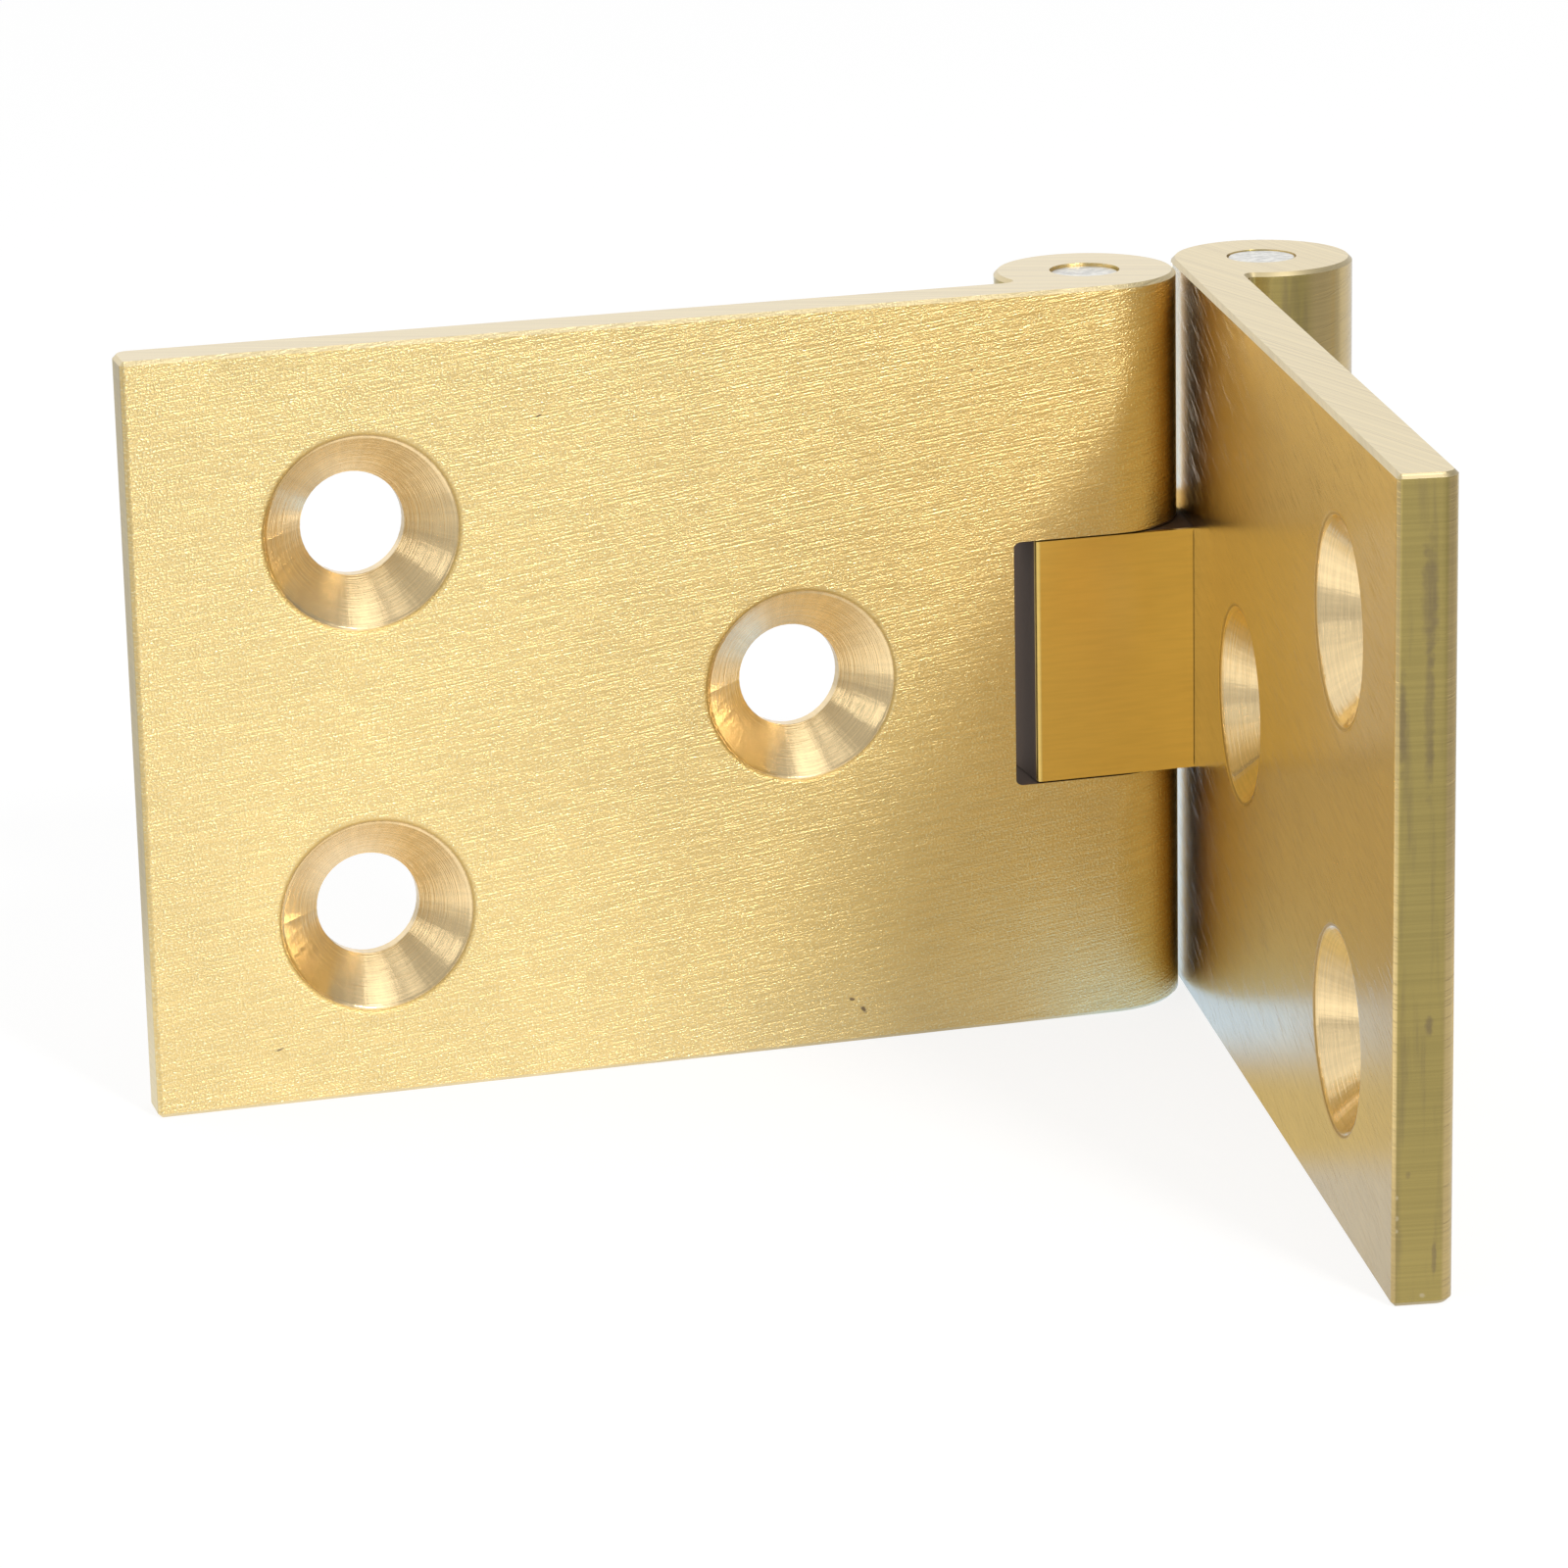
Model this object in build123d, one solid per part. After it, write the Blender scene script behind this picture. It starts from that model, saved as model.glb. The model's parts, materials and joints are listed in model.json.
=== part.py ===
"""Brass double-pin hinge for a folding table or counter flap.

Two solid drawn leaves stand on their lower edges with the pin axes upright. Each leaf is
a flat plate with a round knuckle behind its front face. A link lies in a slot in each
knuckle and turns on a pin there, so the leaves fold towards their countersunk faces.
The model is in millimetres, with its origin under the middle of its bounding box.
"""
from build123d import *
import math
import os

# Leaves, alike on both sides
leaf_height = 38.0
leaf_length = 50.0
leaf_thickness = 2.9
knuckle_radius = 4.6
root_fillet = 0.4
end_back_radius = 0.9
end_front_radius = 0.25
edge_break = 0.2

# Screw holes, countersunk from the front face
hole_radius = 2.6
countersink_radius = 4.85
countersink_angle = 90.0
countersink_rim = 0.6
far_hole_distance = 38.6
near_hole_distance = 16.6
far_hole_spacing = 19.4

# Link and the slots that it turns in
pin_spacing = 9.5
link_height = 12.5
link_end = 4.25
link_corner_radius = 0.25
slot_front = 5.4
slot_corner_radius = 0.3
slot_side_clearance = 0.08

# Pins
pin_radius = 1.75
pin_chamfer = 0.1
pin_seat_clearance = 0.02
link_bore_clearance = 0.05
fixed_pin_recess = 0.15
flap_pin_recess = 0.05

# The flap leaf stands folded almost as far as its slot lets it go
stop_play = 0.6

middle_height = leaf_height / 2
plate_back = leaf_thickness - knuckle_radius
stop_fold = 2 * math.degrees(math.atan2(slot_front, knuckle_radius))
rest_fold = stop_fold - stop_play


def leaf_profile():
    """Plate and knuckle in plan, with the pin axis at the origin and the front face towards -Y."""
    plate = Pos(leaf_length / 2, plate_back - leaf_thickness / 2) * Rectangle(leaf_length, leaf_thickness)
    profile = Circle(knuckle_radius) + plate
    root = (math.sqrt(knuckle_radius**2 - plate_back**2), plate_back)
    profile = round_corner(profile, root, root_fillet)
    profile = round_corner(profile, (leaf_length, plate_back), end_back_radius)
    return round_corner(profile, (leaf_length, -knuckle_radius), end_front_radius)


def round_corner(profile, corner, radius):
    """Round the corner of a profile that is nearest to a point."""
    target = Vector(*corner)
    vertex = min(profile.vertices(), key=lambda v: (v.center() - target).length)
    return fillet(vertex, radius)


def screw_holes():
    """Three through holes with cones, as one tool whose mouths lie on the front face."""
    cone_depth = (countersink_radius - hole_radius) / math.tan(math.radians(countersink_angle / 2))
    drill = Cylinder(hole_radius, 2 * leaf_thickness)
    cone = Cone(hole_radius, countersink_radius, cone_depth, align=(Align.CENTER, Align.CENTER, Align.MAX))
    tool = Rot(90, 0, 0) * (drill + cone)
    places = (
        (far_hole_distance, far_hole_spacing / 2),
        (far_hole_distance, -far_hole_spacing / 2),
        (near_hole_distance, 0),
    )
    return [Pos(along, -knuckle_radius, height) * tool for along, height in places]


def slot_cutter():
    """Disc about the pin axis that opens the slot, so that the link's square corner can pass."""
    reach = math.hypot(slot_front, knuckle_radius)
    disc = Cylinder(reach, link_height + 2 * slot_side_clearance)
    return fillet(disc.edges().filter_by(GeomType.CIRCLE), slot_corner_radius)


def make_leaf():
    """Leaf with its pin axis on Z, its plate along +X and its middle height at zero."""
    body = extrude(leaf_profile(), leaf_height / 2, both=True)
    ends = body.faces().filter_by(Axis.Z)
    body = chamfer(ends.edges(), edge_break)
    for hole in screw_holes():
        body -= hole
    body = soften_rims(body)
    body -= slot_cutter()
    body -= Cylinder(pin_radius + pin_seat_clearance, leaf_height)
    return body


def soften_rims(body):
    """Round the rims of the countersinks, where the satin finish has worn the corner away."""
    circles = body.edges().filter_by(GeomType.CIRCLE)
    rims = [circle for circle in circles if math.isclose(circle.radius, countersink_radius)]
    return fillet(rims, countersink_rim)


def make_link():
    """Link with its left pin axis on Z: flat and square in front, round about the pins behind."""
    length = pin_spacing + 2 * link_end
    front = Pos(pin_spacing / 2, -knuckle_radius / 2) * Rectangle(length, knuckle_radius)
    back = Pos(pin_spacing / 2, link_end / 2) * Rectangle(pin_spacing, link_end)
    profile = front + back + Circle(link_end) + Pos(pin_spacing, 0) * Circle(link_end)
    for end in (-link_end, pin_spacing + link_end):
        profile = round_corner(profile, (end, -knuckle_radius), link_corner_radius)
    body = extrude(profile, link_height / 2, both=True)
    bore = Cylinder(pin_radius + link_bore_clearance, link_height)
    return body - bore - Pos(pin_spacing, 0, 0) * bore


def make_pin(recess):
    """Plain round pin that stops short of both ends of the knuckle."""
    pin = Cylinder(pin_radius, leaf_height - 2 * recess)
    return chamfer(pin.edges().filter_by(GeomType.CIRCLE), pin_chamfer)


def assemble():
    """Put the pieces together about the fixed pin, with the flap leaf folded to its rest angle."""
    leaf = make_leaf()
    flap_axis = Pos(pin_spacing, 0, 0)
    return {
        "fixed_leaf": Rot(0, 180, 0) * leaf,
        "flap_leaf": flap_axis * Rot(0, 0, -rest_fold) * leaf,
        "link": make_link(),
        "fixed_pin": make_pin(fixed_pin_recess),
        "flap_pin": flap_axis * make_pin(flap_pin_recess),
    }


def main():
    """Stand the hinge on its lower edges with the origin under its middle, and write each piece."""
    parts = assemble()
    middle = Compound(list(parts.values())).bounding_box().center()
    stand = Pos(-middle.X, -middle.Y, middle_height)
    os.makedirs("parts", exist_ok=True)
    for name, part in parts.items():
        export_step(stand * part, f"parts/{name}.step")
    fixed_axis = stand * Pos(0, 0, -middle_height)
    print("fixed pin axis", fixed_axis.position, "rest fold", round(rest_fold, 4))


main()
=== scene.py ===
"""Looks of a brass double-pin flap hinge, standing on a white floor in soft studio light.

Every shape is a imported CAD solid. This script gives the solids their finish: leaves
with a satin grain along their length, turned countersinks, a smooth link and filed pins.
"""
import json
import math

import bpy
from mathutils import Matrix, Vector


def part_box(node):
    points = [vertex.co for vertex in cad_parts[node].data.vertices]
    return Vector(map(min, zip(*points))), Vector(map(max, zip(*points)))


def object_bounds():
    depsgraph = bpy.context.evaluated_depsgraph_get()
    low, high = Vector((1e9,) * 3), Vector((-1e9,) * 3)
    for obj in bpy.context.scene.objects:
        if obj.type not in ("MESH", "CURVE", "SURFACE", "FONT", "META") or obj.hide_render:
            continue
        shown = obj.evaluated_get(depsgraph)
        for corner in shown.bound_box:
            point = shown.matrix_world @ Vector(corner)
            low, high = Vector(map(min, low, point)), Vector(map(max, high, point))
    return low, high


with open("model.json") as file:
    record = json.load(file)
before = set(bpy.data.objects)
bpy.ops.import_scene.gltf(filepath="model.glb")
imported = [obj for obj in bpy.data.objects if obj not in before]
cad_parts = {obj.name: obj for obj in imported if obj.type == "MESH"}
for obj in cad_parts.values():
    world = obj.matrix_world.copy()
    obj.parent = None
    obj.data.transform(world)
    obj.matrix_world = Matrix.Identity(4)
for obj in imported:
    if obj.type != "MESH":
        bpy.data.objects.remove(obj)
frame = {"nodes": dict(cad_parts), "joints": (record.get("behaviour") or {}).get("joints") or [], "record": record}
cad_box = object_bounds()

UP = Vector((0, 0, 1))
MM = 0.001

# Camera, as the photograph's lines and circles place it
CAMERA_PLACE = Vector((-0.0777, -0.2599, 0.0957))
CAMERA_YAW = 0.27406
CAMERA_PITCH = -0.27623
CAMERA_ROLL = -0.02213
FOCAL_PIXELS = 6107
IMAGE_PIXELS = 1600
SENSOR_MM = 36
CLIP_START = 0.01

# Screw holes
COUNTERSINK_RADIUS = 4.85 * MM
RIM_REACH = 5.6 * MM

# Slot that the link turns in, in millimetres from the pin and from the middle height
MIDDLE_HEIGHT = (cad_box[0].z + cad_box[1].z) / 2 / MM
SLOT_REACH = 7.15
SLOT_HALF_HEIGHT = 6.4

# Colours, linear
SATIN_GOLD = (0.895, 0.67, 0.285)
# Pale colour painted on flecks as glints of light: a painted highlight
PAINTED_GLINT_PALE = (1.0, 0.92, 0.58)
# Cream painted on edge breaks as a soft pale sheen (painted highlight), and the colour of bright nicks on the end
# face
NICK_AND_SHEEN_CREAM = (0.86, 0.71, 0.40)
SCORE_BROWN = (0.45, 0.33, 0.17)
END_OLIVE = (0.68, 0.53, 0.165)
STAIN_GREY = (0.45, 0.34, 0.15)
RIM_AMBER = (0.68, 0.47, 0.16)
TURNED_GOLD = (0.94, 0.72, 0.39)
# Dark brown painted as shade inside the slots, on the leaves and on the link's ends and sides
SLOT_SHADE_BROWN = (0.10, 0.058, 0.033)
SPECK_BROWN = (0.25, 0.18, 0.10)
LINK_AMBER = (0.90, 0.63, 0.18)
PIN_SILVER = (0.85, 0.84, 0.80)
FLOOR_WHITE = (0.86, 0.86, 0.86)
PLAIN_WHITE = (1, 1, 1)

# Painted tints of the floor that only reflections show, above 1 where they also brighten: a cool light in the
# corner between the leaves, and a warm glow of light bounced from the brass
COOL_WHITE = (0.90, 1.22, 1.75)
BRASS_GLOW = (1.05, 0.86, 0.40)

# Share of a face's normal along a direction of its leaf, where a kind of face starts and where it is whole
CUT_FACE = (0.90, 0.98)
BROKEN_EDGE = (0.40, 0.60)
END_FACE = (0.90, 0.98)
SLOPING = (0.95, 0.85)
ROUNDED = (0.995, 0.95)
NOT_BACK = (-0.9, -0.5)
FRONT_ONLY = (0.5, 0.8)

# Noise scales per millimetre, along the leaf and across it
GRAIN = (0.35, 9.0)
FLECKS = (8.0, 11.0)
SCRATCHES = (0.25, 9.0)

# Noise scales per millimetre, in the directions that are named
CLOUD_ALL = 0.12
MARK_ALL = 2.5
SAW_ALONG, SAW_OUT = 0.9, 2.5
STAIN_OUT, STAIN_UP = 1.3, 0.10

# Noise scales, per metre
LINK_STREAKS = Vector((400, 400, 5000))
LINK_CLOUDS = 150
PIN_MOTTLE = 2500

# The brushing rises a little towards the pin, and the scratches more
BRUSH_TILT = 0.13
SCRATCH_TILT = 0.35

# Rings that the countersink's tool leaves, and the chatter across them
RING_PITCH = 0.055 * MM
RING_WANDER = 1.6
CHATTER_TURN = 14.0
CHATTER_DRIFT = 0.03

# Value of a noise at which its part of the finish starts to show, and at which it is whole
WIDE = (0.30, 0.70)
NARROW = (0.35, 0.65)
# Painted glints on the flecks
PAINTED_GLINT_TOPS = (0.52, 0.68)
SCRATCH_TOPS = (0.58, 0.68)
STAIN_TOPS = (0.50, 0.70)
STAIN_PATCHES = (0.35, 0.60)
SCORE_WIDTH = 0.012

# How strong scored lines and stains are, from their weakest to their strongest
SCORE_STRENGTH = (0.0, 0.5)
STAIN_STRENGTH = (0.0, 0.6)
SPOT_STRENGTH = (0.55, 1.0)

# Darkest and brightest that each noise makes the colour
GRAIN_SHADE = (0.90, 1.0)
CLOUD_SHADE = (0.96, 1.02)
SAW_SHADE = (0.93, 1.02)
RING_SHADE = (0.91, 1.03)
CHATTER_SHADE = (0.95, 1.03)
STREAK_SHADE = (0.97, 1.02)
MOTTLE_SHADE = (0.80, 1.1)

# Depths of the relief, in millimetres
RING_DEPTH = 0.014
CHATTER_DEPTH = 0.009
SAW_DEPTH = 0.012
STREAK_DEPTH = 0.003
MOTTLE_DEPTH = 0.02

# Roughness of the faces that aren't brushed
EDGE_ROUGHNESS = 0.45
CUT_ROUGHNESS = 0.30
RIM_ROUGHNESS = 0.50
CONE_ROUGHNESS = 0.20
# Roughness where the slot is painted dark as shade
SLOT_SHADE_ROUGHNESS = 0.8
LINK_ROUGHNESS = 0.33
PIN_ROUGHNESS = 0.38

# How far a brushed highlight is drawn out
LEAF_ANISOTROPY = 0.6
LINK_ANISOTROPY = 0.5

# Clear lacquer over the leaves
LACQUER = 0.55
LACQUER_ROUGHNESS = 0.30

# Finish of each leaf: seed of its noise, brightness, roughness, depth of its grain and
# of its scratches in millimetres, and share of flecks painted pale as glints of light
FIXED_FINISH = dict(seed=0.0, tone=1.0, satin=0.34, grain_depth=0.042, scratch_depth=0.003, sparkle=0.8)
FLAP_FINISH = dict(seed=40.0, tone=0.86, satin=0.19, grain_depth=0.002, scratch_depth=0.007, sparkle=0.0)

# Dark specks on the fixed leaf's front: place along and up, size, tilt
FIXED_MARKS = (
    ((13.7, 1.7), (0.30, 0.16), 0.9),
    ((14.3, 2.3), (0.22, 0.10), 0.3),
    ((43.8, 2.9), (0.28, 0.07), -0.3),
    ((29.6, 33.8), (0.20, 0.07), -0.4),
    ((7.5, 34.3), (0.12, 0.10), 0.0),
)

# Stains and bright nicks on the flap's end face: place out and up, size, tilt
FLAP_END_STAINS = (
    ((3.1, 32.5), (0.50, 3.4), 0.0),
    ((3.1, 27.5), (0.30, 5.0), 0.0),
    ((4.3, 27.0), (0.28, 3.0), 0.0),
    ((3.0, 13.1), (0.25, 0.6), 0.0),
    ((3.9, 6.2), (0.16, 0.22), 0.0),
    ((2.7, 2.2), (0.14, 1.3), 0.0),
)
FLAP_END_NICKS = (
    ((3.24, 0.5), (0.18, 0.16), 0.0),
    ((4.40, 5.15), (0.12, 0.16), 0.0),
    ((4.40, 4.2), (0.12, 0.16), 0.0),
    ((4.40, 3.6), (0.12, 0.12), 0.0),
)

# Depths behind the link's front, in metres, between which its ends and sides are painted dark brown as shade
LINK_SHADE_START = (0.22 * MM, 0.30 * MM)
LINK_SHADE_END = (5.0 * MM, 3.5 * MM)

# Smooth steps of the brightness that metal sees: axis, start, end, value before and after
X, Y = 0, 1
FLOOR_IN_FRONT = (
    (Y, 0.0, -0.08, 0.90, 0.60),
    (X, 0.05, 0.10, 1.0, 0.5),
    (X, -0.015, 0.010, 1.5, 0.80),
    (X, -0.062, -0.050, 0.52, 1.0),
)
FLOOR_BEHIND = (
    (X, -0.01, 0.03, 0.60, 0.82),
    (X, 0.028, 0.040, 1.0, 3.2),
    (X, 0.048, 0.058, 1.0, 0.27),
)
WORLD_AROUND = (
    (Y, -0.4, 0.3, 0.50, 0.95),
    (X, 0.3, 0.9, 1.0, 0.5),
)

# Zones of the floor's painted reflection, which only metal sees, as smooth steps from 0 outside to 1 inside, and
# the brightness of two of them: darker in front of the fixed leaf's foot, brighter in the corner between the
# leaves
FOOT_ZONE = ((Y, -0.020, 0.004, 0, 1), (X, 0.015, 0.007, 0, 1))
BEHIND_ZONE = ((Y, 0.03, 0.06, 0, 1),)
CORNER_ZONE = ((Y, 0.006, 0.015, 0, 1), (X, 0.012, 0.018, 0, 1), (X, 0.036, 0.028, 0, 1))
GLOW_ZONE = ((Y, 0.011, 0.003, 0, 1), (Y, -0.010, -0.004, 0, 1), (X, -0.008, 0.002, 0, 1))
FOOT_LEVEL = 0.84
CORNER_LEVEL = 1.2

# Floor: radius in metres, corners, strength to the camera, and share of plain light against shaded white
FLOOR_RADIUS = 4
FLOOR_CORNERS = 96
FLOOR_STRENGTH = 1.1
FLOOR_SHARE = 0.75

# Softboxes: name, direction from the hinge, distance, width, height, watts
SOFTBOXES = (
    ("key_softbox", (0.25, -0.80, 0.54), 0.6, 0.10, 0.10, 1.65),
    ("left_softbox", (-0.88, -0.36, 0.33), 0.6, 0.08, 0.22, 0.09),
    ("top_softbox", (0.13, -0.30, 0.945), 0.7, 0.34, 0.30, 0.30),
    ("fill_softbox", (-0.34, -0.36, 0.87), 0.7, 0.14, 0.30, 0.08),
)


class Graph:
    """Shorthand for filling one node tree. A value may be a number, a vector or another node's output."""

    def __init__(self, tree):
        self.tree = tree
        tree.nodes.clear()

    def node(self, kind, values=(), **settings):
        """Add a node. Values holds pairs of a socket's name or number and what feeds it."""
        node = self.tree.nodes.new("ShaderNode" + kind)
        for key, value in settings.items():
            setattr(node, key, value)
        for key, value in values:
            socket = node.inputs[key]
            if isinstance(value, bpy.types.NodeSocket):
                self.tree.links.new(value, socket)
            elif socket.type == "RGBA":
                socket.default_value = (*value, 1.0)
            else:
                socket.default_value = value
        return node

    def math(self, operation, *values):
        return self.node("Math", enumerate(values), operation=operation).outputs[0]

    def product(self, first, *others):
        """Multiply all the numbers."""
        for other in others:
            first = self.math("MULTIPLY", first, other)
        return first

    def total(self, first, *others):
        """Add all the numbers."""
        for other in others:
            first = self.math("ADD", first, other)
        return first

    def minus(self, a, b):
        return self.math("SUBTRACT", a, b)

    def outside(self, mask):
        """1 where a mask is 0, and 0 where it is 1."""
        return self.minus(1.0, mask)

    def vector(self, operation, *values):
        return self.node("VectorMath", enumerate(values), operation=operation).outputs[0]

    def dot(self, a, b):
        return self.node("VectorMath", ((0, a), (1, b)), operation="DOT_PRODUCT").outputs["Value"]

    def length(self, a):
        return self.node("VectorMath", ((0, a),), operation="LENGTH").outputs["Value"]

    def scale(self, a, factor):
        return self.node("VectorMath", ((0, a), ("Scale", factor)), operation="SCALE").outputs[0]

    def join(self, x, y, z):
        return self.node("CombineXYZ", enumerate((x, y, z))).outputs[0]

    def band(self, value, start, end, low=0.0, high=1.0):
        """Go smoothly from low to high as value goes from start to end."""
        pairs = (("Value", value), ("From Min", start), ("From Max", end), ("To Min", low), ("To Max", high))
        return self.node("MapRange", pairs, interpolation_type="SMOOTHSTEP").outputs["Result"]

    def steps(self, place, zones):
        """Multiply smooth steps, each over one axis of a place."""
        return self.product(*(self.band(place[axis], *step) for axis, *step in zones))

    def noise(self, vector, scale=1.0, detail=2.0, roughness=0.5):
        pairs = (("Vector", vector), ("Scale", scale), ("Detail", detail), ("Roughness", roughness))
        return self.node("TexNoise", pairs).outputs["Fac"]

    def mix(self, factor, a, b):
        """Mix two colours."""
        return self.node("Mix", ((0, factor), (6, a), (7, b)), data_type="RGBA").outputs[2]

    def blend(self, factor, a, b):
        """Mix two numbers."""
        return self.node("Mix", ((0, factor), (2, a), (3, b)), data_type="FLOAT").outputs[0]

    def bump(self, height, depth):
        return self.node("Bump", (("Height", height), ("Distance", depth))).outputs["Normal"]

    def to_world(self, direction):
        """Turn a direction on the piece into one of the world, so that it follows the piece's motion."""
        return self.node("VectorTransform", (("Vector", direction),), vector_type="VECTOR",
                         convert_from="OBJECT", convert_to="WORLD").outputs[0]


def new_material(name):
    material = bpy.data.materials.new(name)
    material.use_nodes = True
    return material, Graph(material.node_tree)


def metal(graph, color, roughness, anisotropic, normal, tangent, bare=1.0, lacquer=0.0):
    """Metal shader on the material's output. Bare is 0 where painted shade hides the metal."""
    shader = graph.node("BsdfPrincipled", (
        ("Base Color", color), ("Metallic", bare), ("Roughness", roughness), ("Anisotropic", anisotropic),
        ("Normal", normal), ("Tangent", tangent),
        ("Coat Weight", lacquer), ("Coat Roughness", LACQUER_ROUGHNESS)))
    graph.node("OutputMaterial", (("Surface", shader.outputs[0]),))


class Leaf:
    """Where one leaf's pin and holes are at rest, and which way its plate and front face point."""

    def __init__(self, side, pin):
        mounts = {mount["name"]: mount for mount in frame["record"]["mounts"]}
        far = mounts[side + "_far_screws"]
        near = mounts[side + "_near_screw"]
        half = (far["dims"].get("spacing_y_mm") or far["dims"]["pcd_mm"]) / 2 * MM
        middle = Vector(far["pos_m"])
        self.node = frame["nodes"][side + "_leaf"]
        self.pin = Vector(pin)
        self.holes = [middle + UP * half, middle - UP * half, Vector(near["pos_m"])]
        self.front = Vector(far["axis"])
        self.along = (middle - Vector(near["pos_m"])).normalized()


def hole_nodes(graph, place, leaf):
    """The way out from the axis of the hole that is near, how far it is, and whether one is near."""
    radial = Vector((0, 0, 0))
    near = 0.0
    for hole in leaf.holes:
        offset = graph.vector("SUBTRACT", place, hole)
        flat = graph.vector("SUBTRACT", offset, graph.scale(leaf.front, graph.dot(offset, leaf.front)))
        inside = graph.math("LESS_THAN", graph.length(flat), RIM_REACH)
        radial = graph.vector("ADD", radial, graph.scale(flat, inside))
        near = graph.total(near, inside)
    return radial, graph.length(radial), near


class Skin:
    """Where a point lies on a leaf, in millimetres from its pin, and which kinds of face it is on, 0 to 1."""

    def __init__(self, graph, leaf):
        coordinates = graph.node("TexCoord").outputs
        place = coordinates["Object"]
        normal = coordinates["Normal"]
        offset = graph.vector("SUBTRACT", place, leaf.pin)
        self.along = graph.math("DIVIDE", graph.dot(offset, leaf.along), MM)
        self.out = graph.math("DIVIDE", graph.dot(offset, leaf.front), MM)
        self.height = graph.math("DIVIDE", graph.dot(place, UP), MM)
        radial, self.distance, near = hole_nodes(graph, place, leaf)
        self.outward = graph.vector("NORMALIZE", radial)

        facing = graph.dot(normal, leaf.front)
        upright = graph.math("ABSOLUTE", graph.dot(normal, UP))
        within = graph.math("LESS_THAN", self.distance, COUNTERSINK_RADIUS)
        in_hole = graph.product(near, graph.band(facing, *NOT_BACK))
        self.on_front = graph.band(facing, *FRONT_ONLY)
        self.on_cut = graph.band(upright, *CUT_FACE)
        self.on_break = graph.product(graph.band(upright, *BROKEN_EDGE), graph.outside(near))
        self.on_end = graph.band(graph.dot(normal, leaf.along), *END_FACE)
        self.on_cone = graph.product(in_hole, within, graph.band(facing, *SLOPING))
        self.on_rim = graph.product(in_hole, graph.band(facing, *ROUNDED))
        self.in_slot = graph.product(self.near_link(graph), graph.band(facing, *SLOPING))

    def near_link(self, graph):
        """1 in the space that the link's slot takes."""
        reach = graph.length(graph.join(self.along, self.out, 0.0))
        level = graph.math("ABSOLUTE", graph.minus(self.height, MIDDLE_HEIGHT))
        return graph.product(graph.math("LESS_THAN", reach, SLOT_REACH),
                             graph.math("LESS_THAN", level, SLOT_HALF_HEIGHT))


def streaks(graph, along, across, scales, seed):
    """Noise with one scale along the leaf and another across it."""
    return graph.noise(graph.join(graph.product(along, scales[0]), seed, graph.product(across, scales[1])))


class Wear:
    """Noise of the finish: brushed grain, flecks that are also painted pale as glints, scratches, saw lines,
    stains and turned rings.
    """

    def __init__(self, graph, leaf, skin, seed):
        along, out, height = skin.along, skin.out, skin.height
        across = graph.total(height, graph.product(along, BRUSH_TILT))
        lean = graph.total(height, graph.product(along, SCRATCH_TILT))
        self.grain = streaks(graph, along, across, GRAIN, seed)
        self.flecks = streaks(graph, along, across, FLECKS, seed + 7)
        self.scratches = graph.band(streaks(graph, along, lean, SCRATCHES, seed + 3), *SCRATCH_TOPS)
        self.clouds = graph.noise(graph.join(along, out, height), CLOUD_ALL)

        sawn = graph.total(graph.product(along, SAW_ALONG), graph.product(out, SAW_OUT))
        self.saw = graph.noise(graph.join(sawn, seed, 0.0), detail=4.0)
        stained = graph.join(graph.product(out, STAIN_OUT), seed, graph.product(height, STAIN_UP))
        self.stain = graph.noise(stained, detail=4.0, roughness=0.55)

        turn = graph.scale(leaf.front, graph.math("DIVIDE", skin.distance, RING_PITCH))
        drift = graph.scale(turn, CHATTER_DRIFT)
        self.rings = graph.noise(graph.vector("ADD", graph.scale(skin.outward, RING_WANDER), turn))
        self.chatter = graph.noise(graph.vector("ADD", graph.scale(skin.outward, CHATTER_TURN), drift))


def mark(graph, across, height, place, size, tilt):
    """Small ragged mark on a face: 1 in its middle and 0 outside its ellipse."""
    aside = graph.minus(across, place[0])
    rise = graph.minus(height, place[1])
    cosine = math.cos(tilt)
    sine = math.sin(tilt)
    u = graph.total(graph.product(aside, cosine / size[0]), graph.product(rise, sine / size[0]))
    v = graph.minus(graph.product(rise, cosine / size[1]), graph.product(aside, sine / size[1]))
    ragged = graph.noise(graph.join(across, 0.0, height), MARK_ALL)
    reach = graph.total(graph.length(graph.join(u, v, 0.0)), graph.minus(ragged, 0.5))
    return graph.band(reach, 1.0, 0.3)


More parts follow.
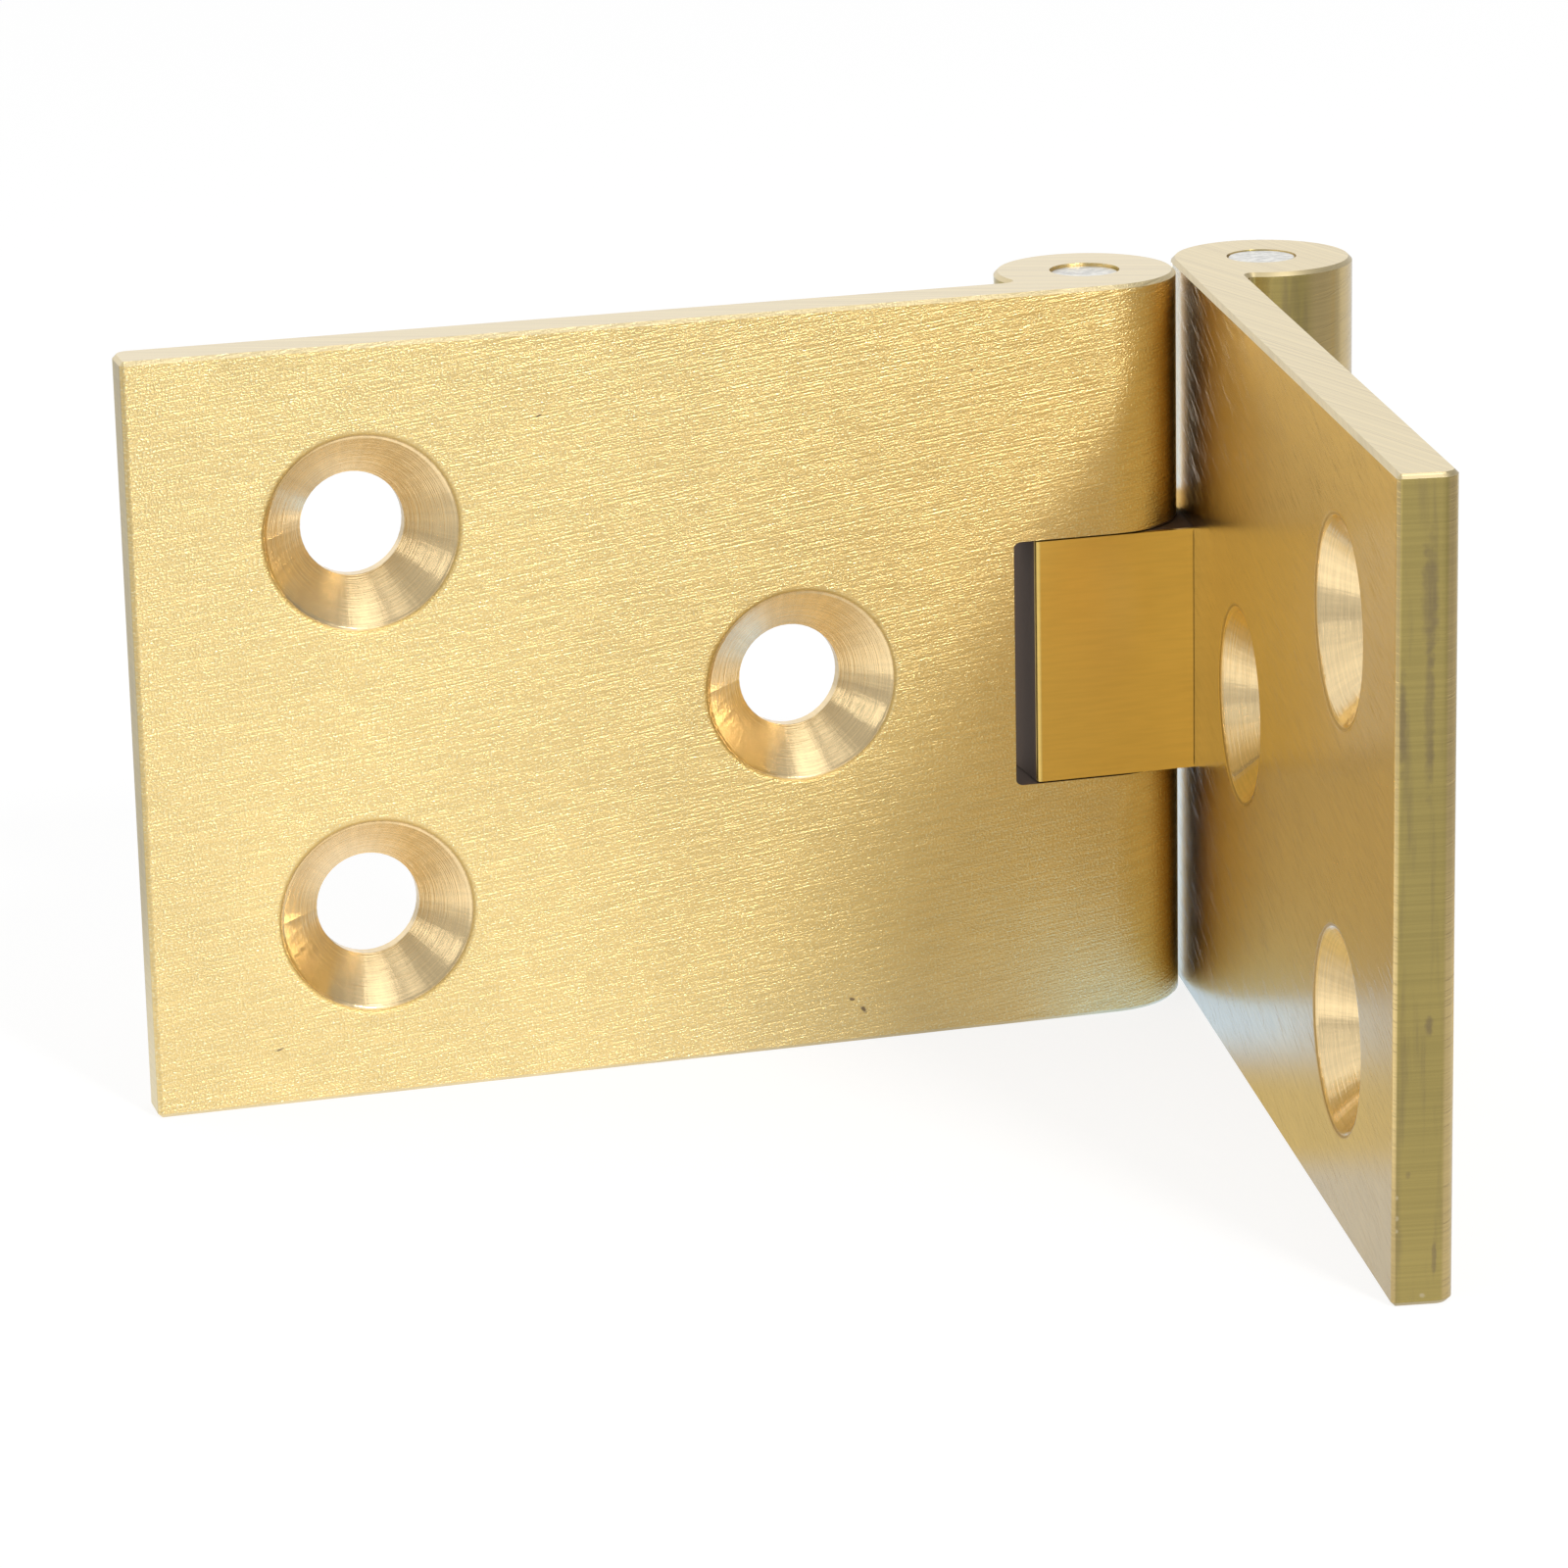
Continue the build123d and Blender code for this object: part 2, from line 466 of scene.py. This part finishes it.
def leaf_color(graph, skin, wear, tone, sparkle, marks, stains, nicks):
    """Gold with flecks painted pale as glints of light, edge breaks painted cream as a soft sheen, paler turned
    faces, stains and nicks on the end, dark specks, and the slot painted dark brown as shade.
    """
    # Flecks painted pale as glints of light; their relief in the bump is real
    color = graph.mix(graph.band(wear.flecks, *PAINTED_GLINT_TOPS, 0.0, sparkle), SATIN_GOLD, PAINTED_GLINT_PALE)
    # Edge breaks painted cream as a soft sheen of light
    color = graph.mix(skin.on_break, color, NICK_AND_SHEEN_CREAM)
    from_line = graph.math("ABSOLUTE", graph.minus(wear.saw, 0.5))
    score = graph.band(from_line, SCORE_WIDTH, 0.0, *SCORE_STRENGTH)
    color = graph.mix(graph.product(skin.on_cut, score), color, SCORE_BROWN)
    color = graph.mix(skin.on_end, color, end_color(graph, skin, wear, stains, nicks))
    color = graph.mix(skin.on_rim, color, RIM_AMBER)
    color = graph.mix(skin.on_cone, color, TURNED_GOLD)
    color = graph.scale(color, leaf_brightness(graph, skin, wear, tone))
    for spot in marks:
        speck = graph.product(mark(graph, skin.along, skin.height, *spot), skin.on_front)
        color = graph.mix(speck, color, SPECK_BROWN)
    # Slot painted dark brown as shade
    return graph.mix(skin.in_slot, color, SLOT_SHADE_BROWN)


def end_color(graph, skin, wear, stains, nicks):
    """Olive brass of the leaf's end face, with grey stains and bright nicks."""
    color = graph.mix(graph.band(wear.stain, *STAIN_TOPS, *STAIN_STRENGTH), END_OLIVE, STAIN_GREY)
    patchy = graph.band(wear.stain, *STAIN_PATCHES, *SPOT_STRENGTH)
    for spot in stains:
        color = graph.mix(graph.product(mark(graph, skin.out, skin.height, *spot), patchy), color, STAIN_GREY)
    for spot in nicks:
        color = graph.mix(mark(graph, skin.out, skin.height, *spot), color, NICK_AND_SHEEN_CREAM)
    return color


def leaf_brightness(graph, skin, wear, tone):
    """Brightness that the grain, the saw lines and the turned rings give the colour."""
    dark, light = GRAIN_SHADE
    brushed = graph.product(graph.band(wear.grain, *NARROW, dark * tone, light * tone),
                            graph.band(wear.clouds, *WIDE, *CLOUD_SHADE))
    turned = graph.product(graph.band(wear.rings, *WIDE, *RING_SHADE),
                           graph.band(wear.chatter, *WIDE, *CHATTER_SHADE))
    brightness = graph.blend(skin.on_cut, brushed, graph.band(wear.saw, *WIDE, *SAW_SHADE))
    return graph.blend(skin.on_cone, brightness, turned)


def leaf_roughness(graph, skin, satin):
    """Satin on the brushed faces, and another roughness on each other kind of face."""
    roughness = graph.blend(skin.on_break, satin, EDGE_ROUGHNESS)
    roughness = graph.blend(skin.on_cut, roughness, CUT_ROUGHNESS)
    roughness = graph.blend(skin.on_rim, roughness, RIM_ROUGHNESS)
    roughness = graph.blend(skin.on_cone, roughness, CONE_ROUGHNESS)
    return graph.blend(skin.in_slot, roughness, SLOT_SHADE_ROUGHNESS)


def leaf_relief(graph, skin, wear, grain_depth, scratch_depth):
    """Height of the finish in millimetres."""
    scratched = graph.product(wear.scratches, graph.blend(skin.on_end, scratch_depth, 0.0))
    brushed = graph.total(graph.product(graph.total(wear.grain, wear.flecks), grain_depth), scratched)
    turned = graph.total(graph.product(wear.rings, RING_DEPTH), graph.product(wear.chatter, CHATTER_DEPTH))
    relief = graph.blend(skin.on_cone, brushed, turned)
    return graph.blend(skin.on_cut, relief, graph.product(wear.saw, SAW_DEPTH))


def leaf_brass(name, leaf, finish, marks=(), stains=(), nicks=()):
    """Brushed brass with turned countersinks, sawn edges, a slot painted dark brown as shade and a few marks."""
    material, graph = new_material(name)
    skin = Skin(graph, leaf)
    wear = Wear(graph, leaf, skin, finish["seed"])
    color = leaf_color(graph, skin, wear, finish["tone"], finish["sparkle"], marks, stains, nicks)
    roughness = leaf_roughness(graph, skin, finish["satin"])
    relief = leaf_relief(graph, skin, wear, finish["grain_depth"], finish["scratch_depth"])
    tangent = graph.vector("ADD", graph.scale(UP, graph.outside(skin.on_cone)),
                           graph.scale(skin.outward, skin.on_cone))
    tangent = graph.vector("ADD", tangent, graph.scale(leaf.along, skin.on_cut))
    metal(graph, color, roughness, LEAF_ANISOTROPY, graph.bump(relief, MM), graph.to_world(tangent),
          bare=graph.outside(skin.in_slot), lacquer=graph.blend(skin.in_slot, LACQUER, 0.0))
    return material


def link_brass():
    """Smoother amber brass, painted dark brown as shade on the ends and sides that turn inside the slots."""
    material, graph = new_material("link_brass")
    place = graph.node("TexCoord").outputs["Object"]
    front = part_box("link")[0].y
    depth = graph.minus(graph.node("SeparateXYZ", ((0, place),)).outputs["Y"], front)
    shaded_inside = graph.product(graph.band(depth, *LINK_SHADE_START), graph.band(depth, *LINK_SHADE_END))
    brushed = graph.noise(graph.vector("MULTIPLY", place, LINK_STREAKS))
    clouds = graph.noise(place, LINK_CLOUDS)
    shine = graph.product(graph.band(brushed, *WIDE, *STREAK_SHADE), graph.band(clouds, *WIDE, *CLOUD_SHADE))
    # Ends and sides inside the slots painted dark brown as shade
    color = graph.mix(shaded_inside, graph.scale(LINK_AMBER, shine), SLOT_SHADE_BROWN)
    roughness = graph.blend(shaded_inside, LINK_ROUGHNESS, SLOT_SHADE_ROUGHNESS)
    metal(graph, color, roughness, LINK_ANISOTROPY, graph.bump(brushed, STREAK_DEPTH * MM),
          graph.to_world(UP), bare=graph.outside(shaded_inside))
    return material


def pin_steel():
    """Grey metal with mottled, lightly filed ends."""
    material, graph = new_material("pin_steel")
    place = graph.node("TexCoord").outputs["Object"]
    mottle = graph.noise(place, PIN_MOTTLE, detail=4.0, roughness=0.6)
    color = graph.scale(PIN_SILVER, graph.band(mottle, *NARROW, *MOTTLE_SHADE))
    metal(graph, color, PIN_ROUGHNESS, 0.0, graph.bump(mottle, MOTTLE_DEPTH * MM), graph.to_world(UP))
    return material


def paint(node, material):
    """Put one material on the whole of a CAD node."""
    node.data.materials.clear()
    node.data.materials.append(material)


def make_floor():
    """White floor. Metal sees a painted reflection of it: darker in front, to the right and in front of the fixed
    leaf's foot, brighter and cool in the corner between the leaves, and warm in front of the fixed leaf. It keeps
    the hinge's shadow.
    """
    bpy.ops.mesh.primitive_circle_add(vertices=FLOOR_CORNERS, radius=FLOOR_RADIUS, fill_type="NGON")
    floor = bpy.context.object
    floor.name = "floor"
    material, graph = new_material("floor_white")
    rays = graph.node("LightPath").outputs
    to_camera = rays["Is Camera Ray"]
    by_metal = graph.math("MAXIMUM", rays["Is Glossy Ray"], rays["Is Transmission Ray"])
    seen = graph.math("MAXIMUM", to_camera, by_metal)
    place = graph.node("SeparateXYZ", ((0, graph.node("TexCoord").outputs["Object"]),)).outputs

    # Painted reflection: brightness and tints that only metal sees, not the camera
    corner = graph.steps(place, CORNER_ZONE)
    studio = graph.product(graph.steps(place, FLOOR_IN_FRONT),
                           graph.band(graph.steps(place, FOOT_ZONE), 0.0, 1.0, 1.0, FOOT_LEVEL))
    studio = graph.blend(graph.steps(place, BEHIND_ZONE), studio, graph.steps(place, FLOOR_BEHIND))
    studio = graph.product(studio, graph.band(corner, 0.0, 1.0, 1.0, CORNER_LEVEL))
    strength = graph.blend(to_camera, studio, FLOOR_STRENGTH)

    unseen = graph.outside(to_camera)
    tint = graph.mix(graph.product(graph.steps(place, GLOW_ZONE), unseen), PLAIN_WHITE, BRASS_GLOW)
    tint = graph.mix(graph.product(corner, unseen), tint, COOL_WHITE)
    matte = graph.node("BsdfDiffuse", (("Color", FLOOR_WHITE),)).outputs[0]
    plain = graph.node("Emission", (("Color", tint), ("Strength", strength))).outputs[0]
    share = graph.product(seen, FLOOR_SHARE)
    surface = graph.node("MixShader", ((0, share), (1, matte), (2, plain))).outputs[0]
    graph.node("OutputMaterial", (("Surface", surface),))
    floor.data.materials.append(material)


def make_world():
    """White to the camera. In metal it is white behind the hinge, and darker in front and to the right."""
    world = bpy.data.worlds.new("studio")
    bpy.context.scene.world = world
    world.use_nodes = True
    graph = Graph(world.node_tree)
    rays = graph.node("LightPath").outputs
    direction = graph.node("SeparateXYZ", ((0, graph.node("TexCoord").outputs["Generated"]),)).outputs
    strength = graph.blend(rays["Is Camera Ray"], graph.steps(direction, WORLD_AROUND), 1.0)
    light = graph.node("Background", (("Color", PLAIN_WHITE), ("Strength", strength))).outputs[0]
    graph.node("OutputWorld", (("Surface", light),))


def add_softbox(name, direction, distance, width, height, power):
    """Area lamp in a direction from the hinge's middle, facing it."""
    lamp = bpy.data.lights.new(name, "AREA")
    lamp.shape = "RECTANGLE"
    lamp.size = width
    lamp.size_y = height
    lamp.energy = power
    softbox = bpy.data.objects.new(name, lamp)
    bpy.context.scene.collection.objects.link(softbox)
    middle = (cad_box[0] + cad_box[1]) / 2
    softbox.location = middle + Vector(direction).normalized() * distance
    softbox.rotation_euler = Vector(direction).to_track_quat("Z", "Y").to_euler()


def make_camera():
    """Camera at the photograph's place, from yaw, pitch and roll."""
    camera = bpy.data.cameras.new("camera")
    camera.sensor_width = SENSOR_MM
    camera.lens = FOCAL_PIXELS / IMAGE_PIXELS * SENSOR_MM
    camera.clip_start = CLIP_START
    forward = Vector((math.sin(CAMERA_YAW) * math.cos(CAMERA_PITCH),
                      math.cos(CAMERA_YAW) * math.cos(CAMERA_PITCH),
                      math.sin(CAMERA_PITCH)))
    level = Vector((math.cos(CAMERA_YAW), -math.sin(CAMERA_YAW), 0))
    upright = level.cross(forward)
    right = level * math.cos(CAMERA_ROLL) + upright * math.sin(CAMERA_ROLL)
    top = right.cross(forward)
    stand = bpy.data.objects.new("camera", camera)
    turn = Matrix((right, top, -forward)).transposed().to_4x4()
    stand.matrix_world = Matrix.Translation(CAMERA_PLACE) @ turn
    bpy.context.scene.collection.objects.link(stand)
    bpy.context.scene.camera = stand


make_camera()
joints = {joint["name"]: joint for joint in frame["joints"]}
fixed = Leaf("fixed", joints["fixed_pin_turn"]["pos_m"])
flap = Leaf("flap", joints["flap_pin_turn"]["pos_m"])
paint(fixed.node, leaf_brass("fixed_brass", fixed, FIXED_FINISH, marks=FIXED_MARKS))
paint(flap.node, leaf_brass("flap_brass", flap, FLAP_FINISH, stains=FLAP_END_STAINS, nicks=FLAP_END_NICKS))
paint(frame["nodes"]["link"], link_brass())
for pin in ("fixed_pin", "flap_pin"):
    paint(frame["nodes"][pin], pin_steel())

make_floor()
make_world()
for softbox in SOFTBOXES:
    add_softbox(*softbox)
bpy.context.scene.view_settings.view_transform = "Standard"
